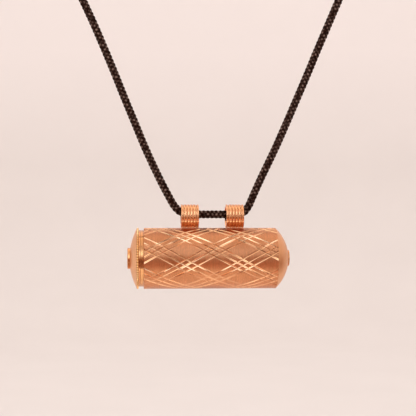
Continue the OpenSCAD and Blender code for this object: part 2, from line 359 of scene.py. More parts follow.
def lathe(outline, segs, z=AXIS_Z, x=0.0, wave=None):
    """Points and faces of a closed outline [(x, r)] turned about an axis along X."""
    verts, rows, faces = [], [], []
    for ox, r in outline:
        if r < 1e-6:
            rows.append([len(verts)])
            verts.append((x + ox, 0.0, z))
            continue
        rows.append(list(range(len(verts), len(verts) + segs)))
        for k in range(segs):
            a = TAU * k / segs
            q = r if wave is None else wave(ox, r, a)
            verts.append((x + ox, -q * math.cos(a), z + q * math.sin(a)))
    for i in range(len(rows)):
        p, q = rows[i], rows[(i + 1) % len(rows)]
        if len(p) == 1 and len(q) == 1:
            continue
        for k in range(segs):
            j = (k + 1) % segs
            if len(p) == 1:
                faces.append((p[0], q[k], q[j]))
            elif len(q) == 1:
                faces.append((p[k], p[j], q[0]))
            else:
                faces.append((p[k], p[j], q[j], q[k]))
    return verts, faces


def place(ob, body, slot, *nodes):
    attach(ob, body)
    if nodes:
        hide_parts(*nodes)
    return ob


def crown(ball, rise, r):
    return math.sqrt(ball * ball - r * r) - (ball - rise)


# ------------------------------------------------------------------ neck cord
def smooth_route(route, steps=24):
    p = [np.array(q, float) for q in route]
    out = []
    for i in range(len(p) - 1):
        a = 2 * p[0] - p[1] if i == 0 else p[i - 1]
        d = 2 * p[-1] - p[-2] if i == len(p) - 2 else p[i + 2]
        b, c = p[i], p[i + 1]
        for s in range(steps):
            t = s / steps
            out.append(0.5 * (2 * b + (c - a) * t + (2 * a - 5 * b + 4 * c - d) * t**2
                              + (3 * b - a - 3 * c + d) * t**3))
    out.append(p[-1])
    return np.array([(q[0], 0.0, q[1]) for q in out])


def lengths(path):
    return np.concatenate([[0.0], np.cumsum(np.linalg.norm(np.diff(path, axis=0), axis=1))])


def at_lengths(path, where):
    s = lengths(path)
    return np.stack([np.interp(where, s, path[:, i]) for i in range(3)], axis=1)


def carried_frame(path, first):
    """Tangent and two side vectors along a path, turned as little as possible."""
    t = np.gradient(path, axis=0)
    t /= np.linalg.norm(t, axis=1)[:, None]
    u = np.zeros_like(path)
    side = np.array(first, float)
    for i in range(len(path)):
        side = side - t[i] * side.dot(t[i])
        side /= np.linalg.norm(side)
        u[i] = side
    return t, u, np.cross(t, u)


# Eight yarns, four each way, one over and one under.
YARNS, LAY = 4, 4.36
YARN_MID, YARN_WAVE = 0.67, 0.17
YARN_WIDE, YARN_THICK = 0.43, 0.22  # half sizes
PER_WAVE = 8
STEP = LAY / YARNS / PER_WAVE


def yarn_rings(path, u, v, along, way, index, squeeze):
    """Rings of one yarn of the braid, eight points each, and how far each point is on a crown."""
    phi = TAU * (index / YARNS + way * along / LAY)
    wave = way * np.cos(TAU * YARNS * along / LAY)
    rad = (YARN_MID + YARN_WAVE * wave) * squeeze
    out = np.cos(phi)[:, None] * u + np.sin(phi)[:, None] * v
    mid = path + rad[:, None] * out
    go = np.gradient(mid, axis=0)
    go /= np.linalg.norm(go, axis=1)[:, None]
    flat = np.cross(out, go)
    flat /= np.linalg.norm(flat, axis=1)[:, None]
    up = np.cross(go, flat)
    rings, crown_wear_and_glint = [], []
    for k in range(8):
        a = TAU * k / 8
        # a flat yarn, fuller at its sides
        w = YARN_WIDE * math.copysign(abs(math.cos(a)) ** 0.8, math.cos(a))
        h = YARN_THICK * math.sin(a)
        rings.append(mid + (squeeze * w)[:, None] * flat + (squeeze * h)[:, None] * up)
        # how far each point is on a crown; the cord's colour is painted paler there, partly as wear and partly as a
        # painted highlight
        crown_wear_and_glint.append(np.clip(wave, 0, 1) ** 2 * max(0.0, math.sin(a)) ** 1.5)
    return np.stack(rings, axis=1), np.stack(crown_wear_and_glint, axis=1)


def braid(path, along, first, squeeze=None):
    """Braided cord along a dense path. Returns points, faces, strand coordinates and crowns."""
    t, u, v = carried_frame(path, first)
    squeeze = np.ones(len(path)) if squeeze is None else squeeze
    verts, faces, uvs, crown_wear_and_glint = [], [], [], []
    base = 0
    n = len(path)
    for way in (1, -1):
        for index in range(YARNS):
            rings, top = yarn_rings(path, u, v, along, way, index, squeeze)
            verts.append(rings.reshape(-1, 3))
            crown_wear_and_glint.append(top.reshape(-1))
            uvs.append(np.stack([np.repeat(along, 8) + 7.3 * index + 31.0 * way,
                                 np.tile(np.arange(8) / 8.0, n)], axis=1))
            i = np.arange(n - 1)[:, None] * 8
            k = np.arange(8)[None, :]
            a, b = base + i + k, base + i + (k + 1) % 8
            quads = np.stack([a, b, b + 8, a + 8], axis=2).reshape(-1, 4)
            faces.extend(quads.tolist())
            faces.append([base + 7 - q for q in range(8)])
            faces.append([base + (n - 1) * 8 + q for q in range(8)])
            base += n * 8
    # dark core that fills the middle of the braid
    every = np.arange(0, n, 6)
    if every[-1] != n - 1:
        every = np.append(every, n - 1)
    ring = np.arange(10) * TAU / 10
    core = (path[every][:, None, :] + 0.52 * squeeze[every][:, None, None]
            * (np.cos(ring)[None, :, None] * u[every][:, None, :]
               + np.sin(ring)[None, :, None] * v[every][:, None, :]))
    m = len(every)
    verts.append(core.reshape(-1, 3))
    crown_wear_and_glint.append(np.zeros(m * 10))
    uvs.append(np.stack([np.repeat(along[every], 10), np.tile(np.arange(10) / 10.0, m)], axis=1))
    i = np.arange(m - 1)[:, None] * 10
    k = np.arange(10)[None, :]
    a, b = base + i + k, base + i + (k + 1) % 10
    faces.extend(np.stack([a, b, b + 10, a + 10], axis=2).reshape(-1, 4).tolist())
    faces.append([base + 9 - q for q in range(10)])
    faces.append([base + (m - 1) * 10 + q for q in range(10)])
    return np.concatenate(verts), faces, np.concatenate(uvs), np.concatenate(crown_wear_and_glint)


def strand_map(ob, uvs):
    """Coordinates along and across each yarn, for the yarn's filaments."""
    me = ob.data
    layer = me.uv_layers.new(name="strand")
    idx = np.empty(len(me.loops), np.int32)
    me.loops.foreach_get("vertex_index", idx)
    layer.data.foreach_set("uv", uvs[idx].astype(np.float32).ravel())


def bead(centre, axis, r, high, segs=20, rings=10):
    """Rounded tip where a cord's end is melted, a little uneven."""
    axis = axis / np.linalg.norm(axis)
    s = np.cross(axis, (0, 1, 0))
    s /= np.linalg.norm(s)
    w = np.cross(axis, s)
    verts, faces = [centre - axis * high * 0.5], []
    for i in range(1, rings):
        a = math.pi * i / rings
        for k in range(segs):
            p = TAU * k / segs
            q = r * math.sin(a) ** 0.7 * (1 + 0.04 * math.sin(3 * p + 1.1) * math.sin(a))
            verts.append(centre - axis * high * 0.5 * math.cos(a) + q * (math.cos(p) * s + math.sin(p) * w))
    verts.append(centre + axis * high * 0.5)
    last = len(verts) - 1
    for k in range(segs):
        j = (k + 1) % segs
        faces.append((0, 1 + j, 1 + k))
        for i in range(rings - 2):
            a, b = 1 + i * segs + k, 1 + i * segs + j
            faces.append((a, b, b + segs, a + segs))
        faces.append((last, last - segs + k, last - segs + j))
    return np.array(verts), faces


def make_cords():
    left = smooth_route(ROUTE_LEFT)
    right = smooth_route(ROUTE_RIGHT)
    len_left, len_right = lengths(left)[-1], lengths(right)[-1]
    whole = np.concatenate([left[::-1], right[1:]])
    # even steps, with one step exactly at the middle, so that the halves meet there
    n_left, n_right = int(len_left / STEP), int(len_right / STEP)
    along = np.arange(-n_left, n_right + 1) * STEP
    path = at_lengths(whole, along + len_left)
    made = {}
    t, u, v = carried_frame(path, (0, 1, 0))
    for side, route, length in (("left", ROUTE_LEFT, len_left), ("right", ROUTE_RIGHT, len_right)):
        if side == "left":
            pick = slice(0, n_left + 1)
            end, inner = path[0], path[6]
        else:
            pick = slice(n_left, None)
            end, inner = path[-1], path[-7]
        p, s = path[pick], along[pick]
        from_end = np.abs(s - (s[0] if side == "left" else s[-1]))
        squeeze = 1.0 - 0.14 * np.clip(1 - from_end / 1.3, 0, 1) ** 2
        verts, faces, uvs, crown_wear_and_glint = braid(p, s, u[pick][0], squeeze)
        tip, tip_faces = bead(end, end - inner, 0.93, 1.5)
        tags = [0] * len(faces) + [1] * len(tip_faces)
        shift = len(verts)
        verts = np.concatenate([verts, tip])
        faces = faces + [[shift + q for q in f] for f in tip_faces]
        uvs = np.concatenate([uvs, np.zeros((len(tip), 2))])
        crown_wear_and_glint = np.concatenate([crown_wear_and_glint, np.zeros(len(tip))])
        cord = add_mesh(f"braided_cord_{side}", verts, faces, [MAT_CORD, MAT_MELT], tags, crown=crown_wear_and_glint)
        strand_map(cord, uvs)
        knot = make_knot(side, route)
        place(cord, "neck_cord", "cord", f"cord_{side}")
        place(knot, "neck_cord", "cord", f"knot_{side}")
        made[side] = length
    return made


def make_knot(side, route):
    """Barrel knot: the cord's own turns round itself, tucked in at both ends."""
    at = np.array((route[14][0], 0.0, route[14][1]))
    to = np.array((route[15][0], 0.0, route[15][1]))
    axis = (to - at) / np.linalg.norm(to - at)
    s = np.array((0.0, 1.0, 0.0))
    w = np.cross(axis, s)
    turns, n = 2.35, 900
    q = np.linspace(0, 1, n)
    turn = TAU * turns * q + (0.6 if side == "left" else 2.4)
    tuck = np.clip(np.minimum(q, 1 - q) / 0.12, 0, 1)
    tuck = tuck * tuck * (3 - 2 * tuck)
    rad = 0.75 + 1.22 * tuck
    height = (q - 0.5) * 4.6
    line = (at + height[:, None] * axis + (rad * np.cos(turn))[:, None] * s
            + (rad * np.sin(turn))[:, None] * w)
    total = lengths(line)[-1]
    along = np.arange(int(total / STEP)) * STEP
    path = at_lengths(line, along)
    verts, faces, uvs, crown_wear_and_glint = braid(path, along, axis)
    knot = add_mesh(f"barrel_knot_{side}", verts, faces, [MAT_CORD], crown=crown_wear_and_glint)
    strand_map(knot, uvs)
    return knot


CORD_LENGTHS = make_cords()


# ------------------------------------------------------------- engraved barrel
# The lattice is straight on the unrolled barrel: bands of three cut lines in two
# directions. a and b count the bands, so lines of one direction have a constant a.
LAT_P, LAT_X0 = 14.3, 0.1  # pitch along X, and the place of one crossing
LAT_ROWS = 12  # rows of crossings round the barrel
LAT_DS = TAU * BARREL_R / LAT_ROWS
LAT_MID = math.radians(3.8)  # the rows are a little closer on the front
LAT_PHI0 = LAT_MID + math.radians(15)
LAT_WARP = -0.04
LAT_SIDE = 0.195  # from a band's middle line to its outer ones
CUT_HALF, CUT_DEEP = 0.235, 0.147


def lattice_lines(lo, hi, seed):
    """Cut lines as (middle, half width, depth, stroke) in band units, with a hand's unevenness."""
    rng = random.Random(seed)
    hand = {(k, m): [rng.uniform(-1, 1) for _ in range(6)] for k in range(6) for m in (-1, 0, 1)}
    unit = 1 / math.hypot(1 / LAT_P, 1 / (2 * LAT_DS))
    lines = []
    for k in range(math.floor(lo) - 1, math.ceil(hi) + 2):
        for m in (-1, 0, 1):
            j = hand[(k % 6, m)]
            lines.append((k + m * LAT_SIDE + 0.09 * j[0] / unit,
                          CUT_HALF * (1 + 0.20 * j[1]) / unit, CUT_DEEP * (1 + 0.22 * j[2]),
                          (j[3], j[4], j[5])))
    return lines


def stroke(groove, along):
    """How strongly a line is cut at a place along it; the sixth band on is the same line again."""
    p, q, r = groove[3]
    return min(1.2, max(0.5, 0.92 + 0.17 * math.sin(TAU * along * 3 / 6 + 3 * p)
                        + 0.09 * math.sin(TAU * along * 8 / 6 + 3 * q) + 0.08 * r))


def lower_side_fade(c):
    """How much of a cut is left: towards the lower side the lines are cut shallower and fade to the land's colour."""
    t = (-math.sin(LAT_PHI0 + LAT_DS * c / BARREL_R) - 0.24) / 0.40
    t = min(1.0, max(0.0, t))
    return 1 - 0.44 * t * t * (3 - 2 * t)


def intervals(lines):
    out = []
    for i, line in enumerate(lines):
        c, w = line[:2]
        out.append((c - w, c, line))
        out.append((c, c + w, line))
        if i + 1 < len(lines):
            n = lines[i + 1]
            out.append((c + w, n[0] - n[1], None))
    return out


def depth_of(groove, q):
    return 0.0 if groove is None else max(0.0, groove[2] * (1 - abs(q - groove[0]) / groove[1]))


def clipped(poly, g):
    """The part of a convex polygon where the linear function g is not negative."""
    out = []
    n = len(poly)
    for i in range(n):
        p, q = poly[i], poly[(i + 1) % n]
        gp, gq = g(p), g(q)
        if gp >= 0:
            out.append(p)
        if (gp > 0 and gq < 0) or (gp < 0 and gq > 0):
            t = gp / (gp - gq)
            out.append((p[0] + (q[0] - p[0]) * t, p[1] + (q[1] - p[1]) * t))
    return out


def make_barrel():
    ease = 0.07
    xl, xr = BARREL_X0 + ease, BARREL_X1 - 0.04
    top = 2 * (xr - LAT_X0) / LAT_P
    low = 2 * (xl - LAT_X0) / LAT_P
    cols_a = intervals(lattice_lines(low / 2, top / 2 + 6, 11))
    cols_b = intervals(lattice_lines(low / 2 - 6, top / 2, 29))
    segs = 144
    period = 12.0
    verts, faces, tags, looks, maps, cuts, cut_bottom_shades = [], [], [], [], [], [], []
    found = {}

    def vertex(x, c, deep, cut, cut_bottom_share):
        c = c % period
        if period - c < 1e-6:
            c = 0.0
        kx, kc = round(x * 2e4), round(c * 2e4)
        for dx in (0, -1, 1):
            for dc in (0, -1, 1):
                i = found.get((kx + dx, kc + dc))
                if i is not None:
                    cuts[i] = max(cuts[i], cut)
                    cut_bottom_shades[i] = max(cut_bottom_shades[i], cut_bottom_share)
                    return i
        found[(kx, kc)] = len(verts)
        phi = LAT_PHI0 + LAT_DS * c / BARREL_R
        th = phi + LAT_WARP * math.sin(phi - LAT_MID)
        r = BARREL_R - deep
        verts.append((x, -r * math.cos(th), AXIS_Z + r * math.sin(th), th))
        cuts.append(cut)
        cut_bottom_shades.append(cut_bottom_share)
        return len(verts) - 1

    def add(poly, kind, groove):
        ids, cs, cut = [], [], []
        for a, b in poly:
            x = LAT_X0 + LAT_P * (a + b) / 2
            x = min(max(x, xl), xr)
            across, along = (a, b) if kind == "a" else (b, a)
            left = lower_side_fade(a - b)
            m = 0.0 if kind is None else left * stroke(groove, along)
            # how far down its cut the point lies, used for the painted shade at the bottom of the cut
            cut_bottom_share = 0.0 if kind is None else left * depth_of(groove, across) / groove[2]
            i = vertex(x, a - b, m * depth_of(groove, across), m, cut_bottom_share)
            if not ids or (i != ids[-1]):
                ids.append(i)
                cs.append((a - b, x))
                cut.append(m)
        if len(ids) > 1 and ids[0] == ids[-1]:
            ids.pop()
            cs.pop()
            cut.pop()
        if len(set(ids)) < 3 or len(set(ids)) != len(ids):
            return
        slope = 0.0
        if kind is not None:
            mid = sum(p[0 if kind == "a" else 1] for p in poly) / len(poly)
            slope = -groove[2] / groove[1] * (1 if mid > groove[0] else -1)
        faces.append(ids[::-1])
        tags.append(0 if kind is None else 1)
        looks.append((kind, slope, cut[::-1]))
        maps.append(cs[::-1])

    for a0, a1, ga in cols_a:
        for b0, b1, gb in cols_b:
            if a1 + b1 <= low or a0 + b0 >= top or a1 - b0 <= 0 or a0 - b1 >= period:
                continue
            cell = [(a0, b0), (a1, b0), (a1, b1), (a0, b1)]
            if ga and gb:
                def over(p, ga=ga, gb=gb):
                    return depth_of(ga, p[0]) - depth_of(gb, p[1])

                pieces = [(clipped(cell, over), "a", ga),
                          (clipped(cell, lambda p: -over(p)), "b", gb)]
            elif ga:
                pieces = [(cell, "a", ga)]
            elif gb:
                pieces = [(cell, "b", gb)]
            else:
                pieces = [(cell, None, None)]
            for poly, kind, groove in pieces:
                poly = clipped(poly, lambda p: p[0] + p[1] - low)
                poly = clipped(poly, lambda p: top - p[0] - p[1])
                poly = clipped(poly, lambda p: p[0] - p[1])
                poly = clipped(poly, lambda p: period - p[0] + p[1])
                if len(poly) < 3:
                    continue
                cs = [p[0] - p[1] for p in poly]
                k0 = math.floor(min(cs) * segs / period + 1e-9)
                k1 = math.ceil(max(cs) * segs / period - 1e-9)
                for k in range(k0, k1):
                    c0, c1 = k * period / segs, (k + 1) * period / segs
                    strip = clipped(poly, lambda p: p[0] - p[1] - c0)
                    strip = clipped(strip, lambda p: c1 - p[0] + p[1])
                    if len(strip) >= 3:
                        add(strip, kind, groove)
    n_outer = len(faces)

    # eased edges, end faces and bore, from the outer skin's own border points
    angle = np.array([v[3] for v in verts])
    xs = np.array([v[0] for v in verts])
    points = [v[:3] for v in verts]

    def ring(ids, x, r):
        start = len(points)
        for i in ids:
            points.append((x, -r * math.cos(angle[i]), AXIS_Z + r * math.sin(angle[i])))
        return list(range(start, start + len(ids)))

    bands = []
    borders = {}
    for side, x in (("left", xl), ("right", xr)):
        ids = [int(i) for i in np.nonzero(np.abs(xs - x) < 1e-5)[0]]
        ids.sort(key=lambda i: angle[i] % TAU)
        borders[side] = ids
    for side, x_end in (("left", BARREL_X0), ("right", BARREL_X1)):
        ids = borders[side]
        r_edge = BARREL_R - (0.06 if side == "left" else 0.03)
        rows = [ids, ring(ids, x_end, r_edge), ring(ids, x_end, BORE_R + 0.06),
                ring(ids, x_end + (0.06 if side == "left" else -0.06), BORE_R)]
        mid = (BARREL_X0 + BARREL_X1) / 2
        rows.append(ring(ids, mid, BORE_R))
        for r0, r1, tag in zip(rows, rows[1:], (0, 2, 2, 2)):
            for k in range(len(ids)):
                j = (k + 1) % len(ids)
                quad = (r0[k], r0[j], r1[j], r1[k])
                faces.append(quad[::-1] if side == "right" else quad)
                tags.append(tag)
        bands.append(rows)
    # the bore's two halves are joined by one strip of triangles, since their points differ
    lo_ids, hi_ids = bands[0][-1], bands[1][-1]
    lo_ang = [angle[i] % TAU for i in borders["left"]]
    hi_ang = [angle[i] % TAU for i in borders["right"]]
    for side_ids in (bands[1][-1],):
        for i in side_ids:
            x, y, z = points[i]
            points[i] = (x + 1.0, y, z)
    i = j = 0
    while i < len(lo_ids) or j < len(hi_ids):
        na = lo_ang[i] if i < len(lo_ids) else 99.0
        nb = hi_ang[j] if j < len(hi_ids) else 99.0
        if na <= nb:
            faces.append((lo_ids[i % len(lo_ids)], lo_ids[(i + 1) % len(lo_ids)], hi_ids[j % len(hi_ids)]))
            i += 1
        else:
            faces.append((hi_ids[(j + 1) % len(hi_ids)], hi_ids[j % len(hi_ids)], lo_ids[i % len(lo_ids)]))
            j += 1
        tags.append(2)

    me = bpy.data.meshes.new("engraved_barrel")
    me.from_pydata((np.array(points) * MM).tolist(), [], [list(f) for f in faces])
    for m in (MAT_LAND, MAT_CUT, MAT_INSIDE):
        me.materials.append(m)
    me.polygons.foreach_set("material_index", np.array(tags, np.int32))
    me.shade_smooth()
    # each wall of a cut keeps its own slope, and the land keeps the barrel's roundness
    normals = np.zeros((len(me.loops), 3))
    for n, poly in enumerate(me.polygons):
        if n < n_outer:
            kind, steep, cut = looks[n]
            for li, vi, m in zip(poly.loop_indices, faces[n], cut):
                th = angle[vi]
                slope = steep * m
                out = np.array((0.0, -math.cos(th), math.sin(th)))
                if kind is not None:
                    rnd = np.array((0.0, math.sin(th), math.cos(th)))
                    grow = 1 + LAT_WARP * math.cos(th - LAT_MID)
                    sx = slope / LAT_P
                    ss = slope / (2 * LAT_DS) / grow * (1 if kind == "a" else -1)
                    out = out + sx * np.array((1.0, 0, 0)) + ss * rnd
                normals[li] = out / np.linalg.norm(out)
        else:
            flat = poly.normal
            for li, vi in zip(poly.loop_indices, poly.vertices):
                p = points[vi]
                rad = np.array((0.0, p[1], p[2] - AXIS_Z))
                rad /= np.linalg.norm(rad)
                if abs(flat.x) > 0.35:
                    normals[li] = np.array(flat) if abs(flat.x) > 0.95 else np.array(flat)
                else:
                    normals[li] = -rad
    me.normals_split_custom_set([tuple(q) for q in normals])
    # the deep attribute carries the painted shade at the bottom of each cut
    for key, values in (("cut", cuts), ("deep", cut_bottom_shades)):
        layer = me.attributes.new(key, "FLOAT", "POINT")
        layer.data.foreach_set("value", np.array(values + [0.0] * (len(points) - len(values)), np.float32))
    layer = me.uv_layers.new(name="OFBake")
    for n, poly in enumerate(me.polygons):
        if n < n_outer:
            for li, (c, x) in zip(poly.loop_indices, maps[n]):
                layer.data[li].uv = (0.01 + 0.98 * c / period, 0.02 + 0.60 * (x - xl) / (xr - xl))
        else:
            mid = sum((math.atan2(points[v][2] - AXIS_Z, -points[v][1]) % TAU) for v in poly.vertices) / len(poly.vertices)
            for li, vi in zip(poly.loop_indices, poly.vertices):
                p = points[vi]
                th = math.atan2(p[2] - AXIS_Z, -p[1]) % TAU
                if th - mid > math.pi:
                    th -= TAU
                elif mid - th > math.pi:
                    th += TAU
                r = math.hypot(p[1], p[2] - AXIS_Z)
                run = (p[0] - BARREL_X0) + (r - BORE_R) * (-1 if p[0] < 0 else 1)
                layer.data[li].uv = (0.03 + 0.94 * (th / TAU), 0.66 + 0.32 * (run + 1.0) / 37.0)
    me.update()
    ob = bpy.data.objects.new("engraved_barrel", me)
    scene.collection.objects.link(ob)
    return place(ob, "case", "engraved_copper", "barrel_tube")


make_barrel()


# ------------------------------------------------------- turned and spun pieces
def shell_outline(ball, rise, base, wall, way, x, lip):
    """Closed outline of a spun dome: outer skin, eased lip, inner skin."""
    inner = ball - wall
    inner_base = math.sqrt(inner**2 - (ball - rise) ** 2)
    out = [(x + way * rise, 0.0)]
    for i in range(1, 23):
        r = (base - lip) * i / 22
        out.append((x + way * crown(ball, rise, r), r))
    top = crown(ball, rise, base - lip)
    out += [(x + way * top * 0.5, base - lip * 0.28), (x + way * 0.0, base - lip * 0.12)]
    out.append((x, inner_base))
    for i in range(15, 0, -1):
        r = inner_base * i / 16
        out.append((x + way * (math.sqrt(inner**2 - r * r) - (ball - rise)), r))
    out.append((x + way * (inner - (ball - rise)), 0.0))
    return out


def boss_outline(ball, rise, boss, high, way, x):
    """Turned button with an eased edge and a faintly dished face."""
    top = rise + high
    pts = [(x + way * (top - 0.05), 0.0), (x + way * (top - 0.045), boss * 0.35),
           (x + way * (top - 0.01), boss * 0.72)]
    for k in range(0, 91, 15):
        a = math.radians(k)
        pts.append((x + way * (top - 0.16 + 0.16 * math.cos(a)), boss - 0.16 + 0.16 * math.sin(a)))
    foot = crown(ball, rise, boss)
    pts.append((x + way * (foot + 0.10), boss))
    pts.append((x + way * (foot - 0.02), boss + 0.07))
    pts.append((x + way * (crown(ball, rise, boss) - 0.25), boss * 0.9))
    pts.append((x + way * (rise - 0.3), 0.0))
    return pts


v, f = lathe(shell_outline(END_BALL, END_RISE, BARREL_R, 0.6, 1, BARREL_X1, 0.10), 144)
place(add_mesh("spun_end_dome", v, f, [MAT_END_SHADED], sharp=40), "case", "satin_copper", "end_dome")
v, f = lathe(boss_outline(END_BALL, END_RISE, 2.15, 0.14, 1, BARREL_X1), 96)
place(add_mesh("end_button", v, f, [MAT_BOSS], sharp=50), "case", "satin_copper", "end_boss")
v, f = lathe(shell_outline(CAP_BALL, CAP_RISE, CAP_BASE, 0.6, -1, RIM_X0, 0.10), 144)
place(add_mesh("spun_cap_dome", v, f, [MAT_SATIN], sharp=40), "cap", "satin_copper", "cap_dome")
v, f = lathe(boss_outline(CAP_BALL, CAP_RISE, 2.75, 0.53, -1, RIM_X0), 96)
place(add_mesh("cap_button", v, f, [MAT_BOSS], sharp=50), "cap", "satin_copper", "cap_boss")


def make_collar():
    """Polished ring, slightly rounded across, with a fine turned line near each edge."""
    half, mid = (COLLAR_X1 - COLLAR_X0) / 2, (COLLAR_X0 + COLLAR_X1) / 2
    pts = [(COLLAR_X0, COLLAR_BORE)]
    n = 56
    for i in range(n + 1):
        q = -1 + 2 * i / n
        r = COLLAR_R - 0.004 * q * q - 0.05 * abs(q) ** 24
        r -= 0.05 * max(0.0, 1 - abs(abs(q) - 0.34) / 0.11)
        pts.append((mid + half * q, r))
    pts.append((COLLAR_X1, COLLAR_BORE))
    v, f = lathe(pts, 160)
    # painted shade: the two turned lines are darkened in colour
    off = np.abs(np.abs((np.array(v)[:, 0] - mid) / half) - 0.34)
    place(add_mesh("polished_collar", v, f, [MAT_TURNED], sharp=40, grime=0.8 * np.clip(1.2 - off / 0.11, 0, 1)),
          "collar", "turned_copper", "cap_collar")


def make_rim():
    """Beaded edge: small round grains, side by side all the way round."""
    xc, half = (RIM_X0 + RIM_X1) / 2, (RIM_X1 - RIM_X0) / 2
    root = 7.50
    out = [(RIM_X0, NECK_R), (RIM_X0, root - 0.06)]
    for i in range(0, 15):
        a = math.pi * i / 14
        out.append((xc - half * math.cos(a), root + (RIM_R - root) * math.sin(a)))
    out += [(RIM_X1, root - 0.06), (RIM_X1, NECK_R)]

    def wave(x, r, a):
        if r <= root:
            return r
        bead = abs(math.sin(36 * a)) ** 1.1
        return root + (r - root) * (0.05 + 0.95 * bead)

    v, f = lathe(out, 72 * 10, wave=wave)
    pts = np.array(v)
    rad = np.hypot(pts[:, 1], pts[:, 2] - AXIS_Z)
    # painted shade: the gaps between the beads are darkened in colour
    gap = 1 - np.abs(np.sin(36 * np.arctan2(pts[:, 2] - AXIS_Z, -pts[:, 1])))
    grime = np.where(rad > root - 0.001, np.clip((gap - 0.45) / 0.40, 0, 1) * 0.5, 0.0)
    place(add_mesh("milled_rim", v, f, [MAT_RIM], sharp=75, grime=grime), "cap", "satin_copper", "cap_rim")


make_collar()
make_rim()


def thread_wave(x_first, height, wide, thin, turns):
    """Height of a helical ridge at (x, angle), with run-outs at both ends."""

    def at(x, a):
        best = 0.0
        for n in range(-1, 6):
            q = (a + TAU * n) / TAU
            if q < 0 or q > turns:
                continue
            off = abs(x - (x_first + PITCH * q))
            if off > wide / 2:
                continue
            fade = min(1.0, min(q, turns - q) / 0.25)
            full = 1.0 if off < thin / 2 else (wide / 2 - off) / (wide / 2 - thin / 2)
            best = max(best, height * fade * full)
        return best

    return at


def make_neck():
    """Cap's sleeve with its outside thread."""
    ridge = thread_wave(THREAD_X, 0.3, 0.6, 0.22, THREAD_TURNS)
    out = [(RIM_X0 + 0.02, NECK_IN), (RIM_X0 + 0.02, NECK_R - 0.02), (-17.6, NECK_R)]
    n = 84
    for i in range(n + 1):
        out.append((-17.3 + (-12.95 + 17.3) * i / n, NECK_R))
    out += [(NECK_X1 - 0.10, NECK_R), (NECK_X1, NECK_R - 0.12), (NECK_X1, NECK_IN + 0.05),
            (NECK_X1 - 0.05, NECK_IN)]
    v, f = lathe(out, 120, wave=lambda x, r, a: r + (ridge(x, (math.pi - a) % TAU) if r == NECK_R else 0.0))
    place(add_mesh("threaded_neck", v, f, [MAT_TURNED], sharp=28), "cap", "turned_copper", "cap_neck")


def make_bush():
    """Sleeve soldered in the barrel's mouth, with its inside thread."""
    ridge = thread_wave(THREAD_X + PITCH / 2, 0.28, 0.6, 0.22, THREAD_TURNS)
    out = [(BARREL_X0 + 0.02, BORE_R - 0.005), (BARREL_X0 + 0.02, BUSH_BORE + 0.1), (BARREL_X0 + 0.12, BUSH_BORE)]
    n = 96
    x0, x1 = -17.2, -12.5
    for i in range(n + 1):
        out.append((x0 + (x1 - x0) * i / n, BUSH_BORE))
    out += [(BUSH_X1, BUSH_BORE + 0.02), (BUSH_X1, BORE_R - 0.005)]
    v, f = lathe(out, 120, wave=lambda x, r, a: r - (ridge(x, (math.pi - a) % TAU) if r == BUSH_BORE else 0.0))
    place(add_mesh("threaded_bush", v, f, [MAT_TURNED], sharp=28), "case", "turned_copper", "mouth_bush")


make_neck()
make_bush()


# ----------------------------------------------------------------------- bails
RIBS = (-2.06, -1.14, -0.38, 0.38, 1.14, 2.06)


